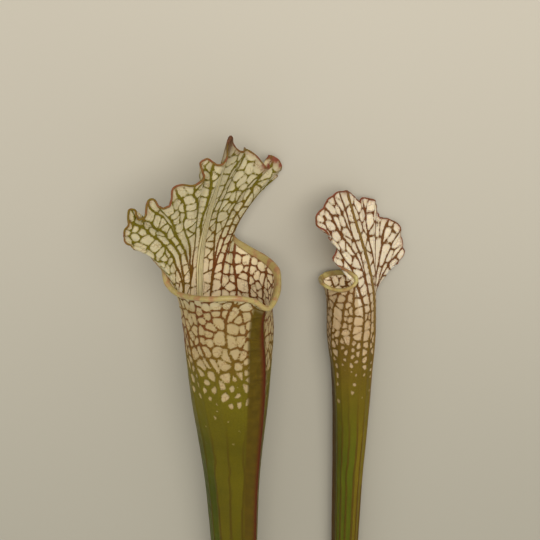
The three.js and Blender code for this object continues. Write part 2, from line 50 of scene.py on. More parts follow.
# The two leaves. Their form has the CAD parts' values, with a thinner wall. Lip rows hold the bearing
# round the tube from its back, then the angle round the mouth, the height and the way beyond the mouth's
# radius. Outline rows hold the bearing and the distance to the leaf's side, then the point's place in the
# view, right and up of its middle, and the ruffle's height. Ribs and main veins are placed by bearing,
# alike on both sides; a branch row holds its parent, its own bearing, and where it leaves and arrives.
LARGE = dict(
    name="large", mouth=(-17.6, -13.2, 32.4), yaw=45, pitch=4, lean=0,
    length=330, throat=-12, head=78, lip_head=25, wall=0.6, lip_radius=1.15, mouth_radius=20.5,
    lip_far=[(-180, -180, 8.5, 3), (-158, -158, 10.5, 1), (-132, -135, 12.5, 0), (-106, -120, 15, 0),
             (-82, -92, 16, 0), (-64, -67, 18, 0.5)],
    outline=[(-50, -18, -15, 14, 0), (-44.5, -21.5, -15, 21.5, 0), (-39, -26, -10.5, 28.5, 0),
             (-34, -32, -5, 34, 0.3), (-29, -37, 0.5, 38.5, 0.6), (-25, -39.5, 4, 40.5, 1),
             (-22, -37.5, 4, 45, 1.2), (-19, -33, 1, 47.5, 1.3), (-15.5, -28, -2, 44, 1.5),
             (-10.5, -17, -8.5, 50.5, 1.4), (-5, -8, -13, 50.5, 1.2), (0, 0, -16.5, 52.5, 0.9),
             (4, 4.5, -20.5, 45.5, 1.3), (8.5, 9.5, -27, 45.5, 1.5), (12.5, 14.5, -30.5, 37.5, 1.6),
             (16.5, 21, -39, 34, 1.6), (20, 25.5, -44.5, 27, 1.6), (23.5, 30, -50, 28.5, 1.5),
             (26.5, 33.5, -54.5, 22.5, 1.4), (29.5, 36, -58.5, 24.5, 1.3), (33, 38, -61, 18.5, 1.2),
             (36.5, 38, -61.5, 12.5, 0.9), (40, 34.5, -57.5, 9.5, 0.5), (44, 26.5, -51.5, 6.5, 0.2),
             (49, 20, -46, 0.5, 0)],
    lip_near=[(64, 52, 12, 3.5), (82, 70, 10.5, 0), (106, 112, 14, 0), (132, 145, 15, 0),
              (158, 167, 12.5, 1)],
    spike=3.6, tip_from=0.84, neck=(26, 56), fan_from=(8, -12, 24), lip_slope=28, hood_pull=1.35,
    radius=[(-330, 4.2), (-290, 4.4), (-240, 5.6), (-180, 8.6), (-128, 10.9), (-114, 11.4), (-91, 12.5),
            (-69, 14.5), (-47, 16.9), (-21, 18.8), (-2, 19.2), (4, 19.2)],
    wing=[(-330, 0.6), (-280, 2.5), (-150, 4), (-40, 3.8), (-16, 2.6), (0, 0)], wing_half=11,
    wing_strip=(16, 20, -14),  # bearings from the wing's crest over which its strip ends, and its top
    wing_side=-1, red_ribs=(),  # side of the crest that the strip is on, and ribs of the crest's colour
    ribs=(0, 26, 50, 82, 106, 132, 158), rib_height=0.35, rib_half=3.5,
    rib_show=[(-330, 0.3), (-250, 1), (-60, 1), (-12, 0.6)],
    foot_shift=(-5.5, 5.5), bend=[(-330, 0), (0, 0)], floor_soft=0.6,
    sweep=[(-70, 0), (-45, 4), (-25, 14), (-10, 32), (10, 38)],
    branches=[(-50, -42, 0.1, 0.5), (-26, -34, 0.15, 0.5), (-26, -16, 0.2, 0.6), (0, -9, 0.35, 0.75),
              (0, 9, 0.2, 0.6), (26, 17, 0.15, 0.55), (26, 34, 0.15, 0.5), (50, 42, 0.1, 0.5),
              (17, 21.5, 0.6, 0.9), (34, 38, 0.55, 0.9)],
    midrib=[(-330, 0), (-40, 0.3), (-10, 1.9), (40, 1.9), (78, 1.0)], midrib_rise=0.2,
    cell_size=[(-110, 1.6), (-70, 1.8), (-45, 2.2), (-10, 2.8), (20, 2.9), (80, 3.3)],
    stretch=[(-110, 1.9), (-70, 1.7), (-40, 1.5), (-5, 1.2), (20, 1.05), (80, 1.2)],
    vein_half=0.24, fill=(8, 62), seed=5, frill=0.4,
    hood_columns=12, lip_columns=10, head_rows=150,
)
SMALL = dict(
    name="small", mouth=(35.8, -14.9, 12.9), yaw=-115, pitch=0.5, lean=-1,
    length=325, throat=-8, head=52, lip_head=13, wall=0.5, lip_radius=0.85, mouth_radius=11.2,
    lip_far=[(-180, -180, 4, 3), (-158, -134, 6, 2), (-132, -112, 5, 0.5), (-106, -88, 5.5, 0),
             (-80, -69, 7.5, 0), (-58, -62, 10, -0.5)],
    outline=[(-50, -9.5, 34.5, -1.5, 0), (-44, -14, 26.5, 4, 0.5), (-38, -13.5, 28.5, 9.5, 0.6),
             (-32, -20, 23.5, 15, 0.9), (-25, -20, 20, 21, 0.9), (-17, -15, 22.5, 27.5, 0.8),
             (-8, -7.5, 28, 32.5, 0.5), (0, 0, 32, 33, 0.4), (3, 3, 35, 32, 0.5),
             (6.5, 5.5, 37, 29, 0.9), (10.5, 9.5, 40, 30.5, 1), (14.5, 12, 43, 30, 0.9),
             (18.5, 14.5, 45.5, 26.5, 1), (22.5, 15, 45, 23, 1), (27, 17, 50, 21.5, 1),
             (31.5, 19, 54, 18.5, 0.9), (36, 19.5, 56, 12.5, 0.9), (41, 19, 56, 7.5, 0.8),
             (46, 17, 54.5, 3.5, 0.7), (50.5, 13.5, 50, 1.5, 0.4), (55.5, 9.5, 45.5, -1.5, 0)],
    lip_near=[(80, 77, 4.5, 0), (106, 113, 4.5, 0), (132, 144, 5, 0.5), (158, 173, 5.5, 1.5)],
    spike=0.5, tip_from=0.95, neck=(30, 62), fan_from=(0, -8, 8), lip_slope=34, hood_pull=1.2,
    radius=[(-325, 3.4), (-290, 3.5), (-230, 4.2), (-180, 5), (-135, 5.8), (-99, 6.4), (-77, 7.2),
            (-55, 8.1), (-39, 9.1), (-29, 10.2), (-19, 10.9), (0, 10.9)],
    wing=[(-325, 0.5), (-250, 2), (-150, 2.4), (-60, 2.2), (-20, 1), (0, 0)], wing_half=12,
    wing_strip=(24, 31, 32), wing_side=1, red_ribs=(24,),
    ribs=(0, 25, 50, 80, 106, 132, 158), rib_height=0.25, rib_half=4,
    rib_show=[(-325, 0.3), (-230, 1), (-40, 1), (-8, 0.6)],
    foot_shift=(-5, 11),
    bend=[(-325, 0), (-135, -0.5), (-99, -0.8), (-77, -1.3), (-55, -1.6), (-39, -1.3), (-29, -0.8),
          (-19, -0.4), (0, 0)],
    floor_soft=0.5,
    sweep=[(-50, 0), (-30, 4), (-8, 14), (10, 20)],
    branches=[(-25, -14, 0.15, 0.6), (25, 13, 0.15, 0.6), (25, 35, 0.1, 0.5), (50, 43, 0.1, 0.5),
              (-14, -8, 0.55, 0.9)],
    midrib=[(-325, 0), (-60, 0.3), (-8, 0.8), (20, 0.85), (52, 0.6)], midrib_rise=0.35,
    cell_size=[(-110, 1.6), (-60, 2.0), (-40, 2.3), (-10, 2.6), (20, 2.9), (52, 3.1)],
    stretch=[(-110, 1.5), (-40, 1.3), (0, 1.25), (20, 1.6), (52, 1.8)],
    vein_half=0.17, fill=(14, 50), seed=12, frill=0.4,
    hood_columns=12, lip_columns=8, head_rows=116,
)
FOOT_CURVE = 3.5  # power by which a foot bends aside
WAVE_LEAN = 0.25  # second harmonic that makes each ruffle lean over
RUFFLE_POWER = 5  # how fast the ruffles die away from the margin
SCALLOP_POWER = 4  # how fast the scallops of the outline do
FRILL_POWER = 8  # and its small round lobes
SPIKE_WIDTH = 0.25  # of the tip, in rows of the rim
LIP_PULL = 0.9  # pull of the tube and of the rim on the lip's lines, in their own length
FOOT_GAP = 0.35  # between a leaf's foot and its sheath
HALF_WALL = 0.45  # of the CAD part, whose tube radius is that of its outer face
REST = 0.45  # least height of a leaf's middle surface over the floor
LIP_STEPS = 12  # round the rolled lip
NET_DEPTH = -100  # below this height a leaf has no windows
WANDER = ((3.6, 12), (1.8, 5))  # of the main veins, in degrees, and over what length
WINDOW_TRIES = 26000  # points drawn for the middles of the windows
WINDOW_SPREAD = (0.72, 1.28)  # least and greatest window, to the cell size
VEIN_ROOM = 0.28  # between a window's middle and a main vein, to the window's size
LANE_ROOM = 0.62  # between windows on both sides of a main vein, to their size
NEIGHBOURS = 5  # windows that a point's distance is measured to
CORNER = 0.32  # size of the windows' round corners
CHUNK = 6000  # points worked out at a time
MAIN_VEIN = 0.24  # by how much a main vein is wider on each side than the net's
LOBES = dict(rate=0.66, drift=0.8, drift_rate=1.7, low=1.2)  # the frill's, to half a turn of its sine
CRINKLE = 0.14  # of the hood's finer waves, to its ruffles
VEIN_RISE = 0.13  # of the net over the windows
DOME = 0.1  # of the windows over their own edges
SKIN_GRAIN = 0.04

# The rhizome, with the values of the CAD part
RHIZOME = dict(ends=(-31, 52), axis_y=-351, axis_z=7.3, radius=9, scar_height=0.7, scar_pitch=6.5,
               sheath_top=16, sheath_wall=2.0, sheath_edge=0.8)
ROOTS = dict(count=13, length=(38, 70), radius=(1.5, 0.6), seed=11)
STUBS = [(-24, -24, 15, 3.6), (9, 4, 18, 4.2), (44, 26, 13, 3.4)]  # x, tilt, length, radius
ROOTLETS = dict(each=11, length=(5, 13), curl=2.5, radius=0.32, seed=31)  # scene only, fine hairs
FOLDS = dict(height=0.22, count=19)  # down a sheath

# Rings along a piece's mesh and sides round it
BODY_MESH = (190, 96)
SHEATH_MESH = (34, 120)
SHEATH_INSIDE = 22  # of a sheath's rings that also line its inside
STUB_MESH = (30, 40)
ROOT_MESH = (64, 12)
ROOTLET_MESH = (9, 5)
FLOOR_RADII = (6000, 1500, 300, 1)
FLOOR_SIDES = 96


def between(low, high, share):
    return low + (high - low) * share


def smooth(x, low, high):
    """Smoothstep: 3 s squared less 2 s cubed, where s runs from 0 at low to 1 at high."""
    s = clip((x - low) / (high - low), 0, 1)
    return s * s * (3 - 2 * s)


def cubic(s, start, end, leave, arrive):
    """Hermite cubic from start to end, with the slopes at both."""
    rise = s * s * (3 - 2 * s)
    return ((1 - rise) * start + rise * end + (s ** 3 - 2 * s * s + s) * leave
            + (s ** 3 - s * s) * arrive)


def table(pairs, x):
    """Cubic through (x, value) pairs with slopes taken from the neighbours, flat beyond the ends."""
    at, value = array(pairs, float).T
    slope = np.gradient(value, at)
    slope[1:-1] = (value[2:] - value[:-2]) / (at[2:] - at[:-2])
    x = clip(x, at[0], at[-1])
    i = clip(np.searchsorted(at, x, side="right") - 1, 0, len(at) - 2)
    width = at[i + 1] - at[i]
    return cubic((x - at[i]) / width, value[i], value[i + 1], width * slope[i], width * slope[i + 1])


def length_of(v):
    return np.linalg.norm(v, axis=-1, keepdims=True)


def unit(v):
    return v / maximum(length_of(v), 1e-12)


def noise(p, size, seed=0):
    """Value noise from -1 to 1: random numbers on a cubic lattice of a given size, blended smoothly."""
    q = np.asarray(p, float) / size
    cell = np.floor(q).astype(np.int64)
    f = q - cell
    f = f * f * (3 - 2 * f)
    total = 0
    for corner in np.ndindex(2, 2, 2):
        i, j, k = (cell[..., n] + corner[n] for n in range(3))
        mixed = (i * 73856093) ^ (j * 19349663) ^ (k * 83492791) ^ (seed * 40503 + 977)
        mixed = ((mixed ^ (mixed >> 13)) * 1274126177) & 0xFFFFFFFF
        value = ((mixed ^ (mixed >> 16)) & 0xFFFF) / 32767.5 - 1
        weight = 1
        for n in range(3):
            weight = weight * (f[..., n] if corner[n] else 1 - f[..., n])
        total = total + weight * value
    return total


def rim_at(rows, a):
    """Catmull-Rom curve through the rim rows at row count a; the bearing gains 360 with each turn."""
    n = len(rows)
    i = np.floor(a).astype(int)
    f = (a - i)[..., None]

    def row(k):
        picked = rows[(i + k) % n].copy()
        picked[..., 0] += 360 * np.floor_divide(i + k, n)
        return picked
    p, q, r, s = row(-1), row(0), row(1), row(2)
    return 0.5 * (2 * q + (r - p) * f + (2 * p - 5 * q + 4 * r - s) * f ** 2
                  + (3 * q - p - 3 * r + s) * f ** 3)


def apart(bearing, other):
    return np.abs((bearing - other + 180) % 360 - 180)


def from_rib(bearing, rib):
    """Degrees to the nearer of a rib and its twin on the other side."""
    return minimum(apart(bearing, rib), apart(bearing, -rib))


def swept(leaf, bearing, height):
    """Bearing of the vein here: near the mouth veins lean to the hood by sweep times its sine."""
    level = (bearing + 180) % 360 - 180
    return level + table(leaf["sweep"], height) * sin(radians(level))


def tube_point(leaf, bearing, t, out=0.0):
    """A ring of the tube's radius at height t, with bell-shaped ribs and the wing down the front."""
    bearing, t = np.broadcast_arrays(bearing, t)
    q = table(leaf["radius"], t) - HALF_WALL + out
    vein = swept(leaf, bearing, t)
    ribs = 0
    for rib in leaf["ribs"]:
        ribs = ribs + exp(-(from_rib(vein, rib) / leaf["rib_half"]) ** 2)
    q = q + leaf["rib_height"] * table(leaf["rib_show"], t) * ribs
    q = q + table(leaf["wing"], t) * exp(-(apart(bearing, 180) / leaf["wing_half"]) ** 1.4)
    share = clip(-t / leaf["length"], 0, 1) ** FOOT_CURVE
    turn = radians(bearing)
    return stack([leaf["foot_shift"][0] * share + sin(turn) * q,
                  leaf["foot_shift"][1] * share + table(leaf["bend"], t) - cos(turn) * q, t], -1)


def plain_point(leaf, a, v):
    """Middle surface before its ruffles, at rim row a. v runs from -1 at the foot to 0 at the throat
    along the tube, then to 1 at the rim along a cubic from tube to calm rim, to which powers of v add
    the scallops and a frill of small round lobes."""
    a, v = np.broadcast_arrays(np.asarray(a, float), np.asarray(v, float))
    row = rim_at(leaf["calm_rim"], a)
    bearing, rim = row[..., 0], row[..., 1:]
    scallop = rim_at(leaf["rim"], a)[..., 1:] - rim
    t = leaf["throat"] + minimum(v, 0) * (leaf["length"] + leaf["throat"])
    low = tube_point(leaf, bearing, t)
    start = tube_point(leaf, bearing, np.full_like(t, leaf["throat"]))
    below = tube_point(leaf, bearing, np.full_like(t, leaf["throat"] - 1.0))
    reach = length_of(rim - start)
    lip = smooth(apart(bearing, 0), *leaf["neck"])[..., None]
    level = np.zeros_like(rim)
    level[..., 2] = rim[..., 2] - leaf["lip_slope"]
    source = (1 - lip) * array(leaf["fan_from"], float) + lip * level
    onward = unit(rim - source)
    arrive = onward * (1 - lip + LIP_PULL * lip) * reach
    leave = unit(start - below) * (leaf["hood_pull"] * (1 - lip) + LIP_PULL * lip) * reach
    drift = LOBES["drift"] * sin(LOBES["drift_rate"] * a)
    lobes = 2 * np.abs(sin(LOBES["rate"] * pi * a + drift)) - LOBES["low"]
    frill = leaf["frill"] * lobes * hood_share(leaf, a) * smooth(apart(a, leaf["apex"]), 0.3, 1.2)
    s = clip(v, 0, 1)[..., None]
    high = cubic(s, start, rim, leave, arrive) + s ** SCALLOP_POWER * scallop
    high = high + s ** FRILL_POWER * frill[..., None] * onward
    return where(v[..., None] > 0, high, low)


def normal_of(surface, a, v, step):
    """Unit normal of a surface function: its slope across times its slope along, out of the back."""
    across = surface(a + step, v) - surface(a - step, v)
    along = surface(a, v) - surface(a, v - step)
    return unit(cross(across, along))


def leaf_axes(leaf):
    """Side, forward and lengthwise directions of a leaf in the plant's frame."""
    yaw, pitch, lean = radians([leaf["yaw"], leaf["pitch"], leaf["lean"]])
    across = array([1.0, 0, 0])
    lengthwise = array([0, cos(pitch), sin(pitch)])
    upward = array([0, -sin(pitch), cos(pitch)])
    up = cos(lean) * lengthwise + sin(lean) * across
    level = cos(lean) * across - sin(lean) * lengthwise
    forward = sin(yaw) * level + cos(yaw) * upward
    side = -cos(yaw) * level + sin(yaw) * upward
    return side, forward, up


def to_plant(leaf, p):
    side, forward, up = leaf_axes(leaf)
    return array(leaf["mouth"]) + p[..., :1] * side + p[..., 1:2] * forward + p[..., 2:] * up


def seen_point(leaf, side, right, up):
    """Side, forward and up of an outline's point: where the line of sight through its place in the view
    has the given distance to the leaf's side."""
    tilt = radians(VIEW["tilt"])
    aim = array(VIEW["aim"])
    eye = aim + VIEW["distance"] * array([0, sin(tilt), cos(tilt)])
    sight = aim + array([right, up * cos(tilt), -up * sin(tilt)]) - eye
    axes = leaf_axes(leaf)
    start = eye - array(leaf["mouth"])
    point = start + sight * (side - start @ axes[0]) / (sight @ axes[0])
    return side, point @ axes[1], point @ axes[2]


def add_rim(leaf):
    """Rim rows of bearing, side, forward and up: far lip, hood, near lip. The calm rim has each point of
    the hood averaged with its neighbours, 1 to 2 to 1."""
    def lip_row(bearing, angle, up, beyond):
        radius = leaf["mouth_radius"] + beyond
        turn = radians(angle)
        return bearing, radius * sin(turn), -radius * cos(turn), up
    rim = [lip_row(*row) for row in leaf["lip_far"]]
    first = len(rim)
    rim += [(row[0], *seen_point(leaf, *row[1:4])) for row in leaf["outline"]]
    last = len(rim) - 1
    rim = array(rim + [lip_row(*row) for row in leaf["lip_near"]])
    calm = rim.copy()
    blended = rim[first:last - 1] + 2 * rim[first + 1:last] + rim[first + 2:last + 1]
    calm[first + 1:last, 1:] = blended[:, 1:] / 4
    ruffle = np.zeros(len(rim) + 1)
    ruffle[first:last + 1] = [row[4] for row in leaf["outline"]]
    leaf.update(rim=rim, calm_rim=calm, hood=(first, last), ruffle=list(enumerate(ruffle)),
                apex=int(np.argmin(np.abs(rim[:, 0]))))


def leaf_point(leaf, a, v):
    """Middle surface in the plant's frame. One wave to two rim rows, with a leaning second harmonic, and
    a finer crinkle grow with powers of v; the floor presses softly from below."""
    a, v = np.broadcast_arrays(np.asarray(a, float), np.asarray(v, float))
    plain = partial(plain_point, leaf)
    p = plain(a, v)
    height = table(leaf["ruffle"], a % len(leaf["rim"]))
    wave = -cos(pi * a) + WAVE_LEAN * sin(2 * pi * a + 1)
    crinkle = CRINKLE * sin(4.3 * pi * a + 2 * sin(2.3 * a)) * clip(v, 0, 1) ** 4
    lift = height * (wave * clip(v, 0, 1) ** RUFFLE_POWER + crinkle)
    p = p + normal_of(plain, a, minimum(v, 0.999), 1e-3) * lift[..., None]
    world = to_plant(leaf, p)
    soft = leaf["floor_soft"]
    world[..., 2] = REST + soft * np.logaddexp(0, (world[..., 2] - REST) / soft)
    return world


def height_of(leaf, a, v):
    """Height along the leaf in millimetres, 0 at the mouth: the tube's own length, then the length of
    the hood or, below the lip, the short way to the lip."""
    tube = leaf["throat"] + minimum(v, 0) * (leaf["length"] + leaf["throat"])
    head = leaf["lip_head"] + (leaf["head"] - leaf["lip_head"]) * hood_share(leaf, a)
    return tube + maximum(v, 0) * head


# Veins and windows
def vein_bearing(leaf, a, v, p):
    """Bearing of the vein that passes a point: its swept bearing, which noise makes wander away from
    the midrib and the wing."""
    bearing = swept(leaf, rim_at(leaf["rim"], a)[..., 0], height_of(leaf, a, v))
    free = smooth(np.abs(bearing), 3, 12) * smooth(180 - np.abs(bearing), 0, 10)
    tight = 1 - 0.35 * smooth(v, 0.1, 0.7)
    wander = [far * noise(p, size, leaf["seed"] + k) for k, (far, size) in enumerate(WANDER)]
    return bearing + free * tight * sum(wander)


def vein_places(leaf, v):
    """Bearings of the main veins at height v. A branch leaves its parent by a smoothstep."""
    twins = [side * rib for side in (-1, 1) for rib in leaf["ribs"]]
    places = {home: home + 0 * v for home in [-180, *twins, 180]}
    for parent, home, start, end in leaf["branches"]:
        places[home] = places[parent] + (home - parent) * smooth(v, start, end)
    return stack([places[home] for home in sorted(places)]), sorted(places).index(0)


def surface_facts(leaf, a, v):
    """Place, the lane between main veins, distances to the main veins and to the midrib, and the
    direction of the veins. A distance is a difference in bearing over its slope on the surface."""
    step_a, step_v = 0.02, 0.004
    v_low = v - step_v
    p, p_next, p_low = leaf_point(leaf, a, v), leaf_point(leaf, a + step_a, v), leaf_point(leaf, a, v_low)
    p_a, p_v = (p_next - p) / step_a, (p - p_low) / step_v
    bearing = vein_bearing(leaf, a, v, p)

    def turned(x):
        return (x + 180) % 360 - 180
    slope_a = turned(vein_bearing(leaf, a + step_a, v, p_next) - bearing) / step_a
    slope_v = turned(bearing - vein_bearing(leaf, a, v_low, p_low)) / step_v
    lines, midrib = vein_places(leaf, v)
    lines_v = (lines - vein_places(leaf, v_low)[0]) / step_v
    aa, av, vv = (np.sum(x * y, -1) for x, y in ((p_a, p_a), (p_a, p_v), (p_v, p_v)))
    area = maximum(aa * vv - av * av, 1e-6)
    fall_v = slope_v - lines_v
    slope = (slope_a ** 2 * vv - 2 * slope_a * fall_v * av + fall_v ** 2 * aa) / area
    apart_mm = np.abs(bearing - lines) / np.sqrt(maximum(slope, 1e-9))
    lean = slope_v / where(np.abs(slope_a) < 0.5, 0.5, slope_a)
    return dict(p=p, lane=np.sum(lines <= bearing, 0), line=np.delete(apart_mm, midrib, 0).min(0),
                midrib=apart_mm[midrib], area=np.sqrt(area), along=unit(p_v - p_a * lean[..., None]))


def window_seeds(leaf):
    """Middles of the windows: random points kept apart by the cell size, with lengths along the veins
    shortened by the stretch."""
    rng = np.random.default_rng(leaf["seed"])
    low = (NET_DEPTH - leaf["throat"]) / (leaf["length"] + leaf["throat"])
    a = rng.uniform(0, len(leaf["rim"]), WINDOW_TRIES)
    v = rng.uniform(low, 1.0, WINDOW_TRIES)
    facts = surface_facts(leaf, a, v)
    area = facts["area"]
    chosen = rng.uniform(0, 1, WINDOW_TRIES) < area / np.percentile(area, 97)
    a, v = a[chosen], v[chosen]
    facts = {key: value[chosen] for key, value in facts.items()}
    height = height_of(leaf, a, v)
    size = table(leaf["cell_size"], height) * rng.uniform(*WINDOW_SPREAD, len(a))
    room = VEIN_ROOM * size
    clear = (facts["line"] > room) & (facts["midrib"] > table(leaf["midrib"], height) + room)
    shorten = 1 - 1 / table(leaf["stretch"], height) ** 2
    kept = []
    for i in range(len(a)):
        near = facts["p"][kept] - facts["p"][i]
        run = np.sum(near * facts["along"][i], -1)
        gap = np.sum(near * near, -1) - shorten[i] * run * run
        same = facts["lane"][kept] == facts["lane"][i]
        if clear[i] and np.all(gap > where(same, size[i] ** 2, (LANE_ROOM * size[i]) ** 2)):
            kept.append(i)
    return dict(p=facts["p"][kept], along=facts["along"][kept], lane=facts["lane"][kept],
                shorten=shorten[kept], tint=rng.uniform(0, 1, len(kept)))


def window_net(leaf, a, v, seeds):
    """Distance to the nearest vein, in millimetres. Windows are the Voronoi cells of the seeds in each
    lane; a soft minimum joins the distances to a cell's borders and to the main veins."""
    facts = surface_facts(leaf, a, v)
    p, lane = facts["p"], facts["lane"]
    s, along, shorten = seeds["p"], seeds["along"], seeds["shorten"]
    steps = s[:, None] - s[None]
    runs = np.einsum("ijk,ik->ij", steps, along)
    spacing = np.sqrt(maximum(np.sum(steps * steps, -1) - shorten[:, None] * runs ** 2, 0.01))
    border = np.zeros(len(p))
    tint = np.zeros(len(p))
    for start in range(0, len(p), CHUNK):
        part = slice(start, start + CHUNK)
        q = p[part]
        square = (q * q).sum(-1)[:, None] + (s * s).sum(-1)[None] - 2 * q @ s.T
        run = q @ along.T - (s * along).sum(-1)[None]
        square = square - shorten[None] * run ** 2 + 1e5 * (lane[part][:, None] != seeds["lane"][None])
        nearest = np.argpartition(square, NEIGHBOURS, axis=1)[:, :NEIGHBOURS]
        values = np.take_along_axis(square, nearest, 1)
        order = np.argsort(values, 1)
        nearest = np.take_along_axis(nearest, order, 1)
        values = np.take_along_axis(values, order, 1)
        first = nearest[:, :1]
        edges = (values[:, 1:] - values[:, :1]) / (2 * spacing[first, nearest[:, 1:]])
        border[part] = -CORNER * np.log(np.sum(exp(-clip(edges, 0, 30) / CORNER), 1) + 1e-9)
        tint[part] = seeds["tint"][nearest[:, 0]]
    main = exp(-(facts["line"] - MAIN_VEIN) / CORNER)
    net = -CORNER * np.log(exp(-clip(border, -3, 30) / CORNER) + main)
    return net, tint, facts["line"], facts["midrib"]


def leaf_masks(leaf, a, v, seeds):
    """What a material needs to know at each point of a leaf, all worked out from bearing and height."""
    shape = a.shape
    a, v = a.ravel(), minimum(v.ravel(), 1.0)
    p = leaf_point(leaf, a, v)
    height = height_of(leaf, a, v)
    bearing = (rim_at(leaf["rim"], a)[..., 0] + 180) % 360 - 180
    rim_speed = length_of(leaf_point(leaf, a, v) - leaf_point(leaf, a, v - 0.01))[..., 0] / 0.01
    rim = (1 - maximum(v, 0)) * rim_speed - minimum(v, 0) * 300
    on_hood = hood_share(leaf, a)
    net, line, midrib, tint = (np.full(len(a), value) for value in (-1.0, 9.0, 9.0, 0.0))
    upper = height > NET_DEPTH
    net[upper], tint[upper], line[upper], midrib[upper] = window_net(leaf, a[upper], v[upper], seeds)
    lower = ~upper
    ribs = [from_rib(bearing[lower], rib) for rib in leaf["ribs"]]
    line[lower] = np.min(ribs, 0) * pi / 180 * table(leaf["radius"], height[lower])
    around = noise(p, 9, 3)
    grow = smooth(-height, *leaf["fill"])
    half = leaf["vein_half"] * (1 + 0.25 * noise(p, 5, 9)) + (0.5 + 1.3 * tint) * grow
    band = table(leaf["midrib"], height)
    pane = minimum(net - half, midrib - band - 0.2)
    pane = pane - 3 * smooth(-height, leaf["fill"][1] + 4, leaf["fill"][1] + 12)
    edge = where(on_hood > 0.5, 0.4, 1.9 * leaf["lip_radius"])
    pane = minimum(pane, rim - edge)
    lip = (1 - on_hood) * (1 - smooth(rim, 1.3 * leaf["lip_radius"], 2.1 * leaf["lip_radius"]))
    narrow, wide, top = leaf["wing_strip"]
    below = smooth(-height, top, top + 8)
    across = (bearing % 360 - 180) * leaf["wing_side"]
    wing = smooth(-where(across > 0, across, -4 * across), -wide, -narrow) * below
    crest = exp(-(across / 2.8) ** 2) * below
    for rib in leaf["red_ribs"]:
        crest = maximum(crest, 0.85 * exp(-((bearing - rib) / 3.5) ** 2) * smooth(-height, -6, 6))
    masks = dict(pane=pane, tint=tint, height=height, rim=rim, rib=line, lip=lip, hood=on_hood,
                 midrib=midrib, band=where(height > -60, band, -1.0), wing=wing, crest=crest,
                 green=green_side(leaf, swept(leaf, bearing, height), height, around),
                 red=red_share(leaf, bearing, height, around),
                 pink=pink_share(leaf, bearing, rim, on_hood))
    return {key: value.reshape(shape) for key, value in masks.items()}


def pink_share(leaf, bearing, rim, on_hood):
    """Pink of the hood's outermost edge: everywhere a little, more on the far lobe of the large hood."""
    far = exp(-((bearing + 19) / 5) ** 2) if leaf["name"] == "large" else 0
    return on_hood * clip(0.35 * smooth(-rim, -2.5, -0.3) + far * smooth(-rim, -4.5, -0.5), 0, 1)


def hood_share(leaf, a):
    """1 over the hood's part of the rim and 0 round the lip, by a smoothstep over two rim rows."""
    first, last = leaf["hood"]
    rows = a % len(leaf["rim"])
    return smooth(minimum(rows - first, last - rows), -1, 1.5)


def green_side(leaf, bearing, height, around):
    """Share of a darker green down one side of the tube, with a wandering edge at a rib."""
    if leaf["name"] == "large":
        side = smooth(bearing + 5 * around, 108, 100) * smooth(bearing, -60, 0)
    else:
        side = smooth(-bearing + 4 * around, 47, 55) * smooth(-bearing, 178, 168)
    return side * smooth(-height, 30, 95)


def red_share(leaf, bearing, height, around):
    """Share of red-brown in the veins: strong round the mouth and low in the hood, less higher up."""
    if leaf["name"] == "large":
        low = smooth(height, 34, 14) * smooth(height, -36, -6)
        right = 0.5 * smooth(-bearing, 5, 30) * smooth(height, 58, 34) * smooth(height, -20, 10)
        share = low * (0.72 + 0.5 * around) + right
        return clip(share * smooth(np.abs(bearing) + 2, 1, 6), 0, 1)
    share = (0.45 * smooth(height, -40, -5) + 0.5 * smooth(height, -6, 4)) * (0.85 + 0.3 * around)
    midrib = exp(-(bearing / 5.5) ** 2) * smooth(height, 60, -10)
    return clip(share - 0.75 * midrib, 0, 1)


# Meshes
def add_object(name, data):
    made = bpy.data.objects.new(name, data)
    bpy.context.scene.collection.objects.link(made)
    return made


def make_mesh(name, points, faces, masks=None, normals=None):
    """A mesh object in metres at the origin, smooth, with its masks as point attributes."""
    mesh = bpy.data.meshes.new(name)
    corners = faces.shape[1]
    mesh.vertices.add(len(points))
    mesh.vertices.foreach_set("co", (points * MM).astype(np.float32).ravel())
    mesh.loops.add(faces.size)
    mesh.loops.foreach_set("vertex_index", faces.astype(np.int32).ravel())
    mesh.polygons.add(len(faces))
    mesh.polygons.foreach_set("loop_start", arange(0, faces.size, corners, dtype=np.int32))
    mesh.polygons.foreach_set("use_smooth", np.ones(len(faces), bool))
    mesh.update(calc_edges=True)
    for key, value in (masks or {}).items():
        layer = mesh.attributes.new(key, "FLOAT", "POINT")
        layer.data.foreach_set("value", value.astype(np.float32).ravel())
    if normals is not None:
        mesh.normals_split_custom_set_from_vertices(normals.reshape(-1, 3).astype(np.float32))
    mesh.validate()
    return add_object(name, mesh)


def grid_faces(rows, columns, first=0):
    """Squares of a grid of rings, outward when a ring turns one way and the rows climb."""
    r = arange(rows - 1)[:, None] * columns
    i = arange(columns)[None]
    j = (i + 1) % columns
    return first + stack([r + i, r + j, r + columns + j, r + columns + i], -1).reshape(-1, 4)


def join_grids(name, grids, masks=None, normals=None):
    """One mesh of several closed-ring grids."""
    faces, first = [], 0
    for grid in grids:
        rows, columns = grid.shape[:2]
        faces.append(grid_faces(rows, columns, first))
        first += rows * columns
    points = concatenate([grid.reshape(-1, 3) for grid in grids])
    return make_mesh(name, points + PLACE, concatenate(faces), masks, normals)


def grid_normals(points):
    """Unit normals of a closed grid of rings, from the slopes between neighbours."""
    across = np.roll(points, -1, 1) - np.roll(points, 1, 1)
    along = np.gradient(points, axis=0)
    return unit(cross(across, along))


def leaf_columns(leaf):
    counts = [leaf["hood_columns"] if leaf["hood"][0] <= k < leaf["hood"][1] else leaf["lip_columns"]
              for k in range(len(leaf["rim"]))]
    return concatenate([k + arange(count) / count for k, count in enumerate(counts)])


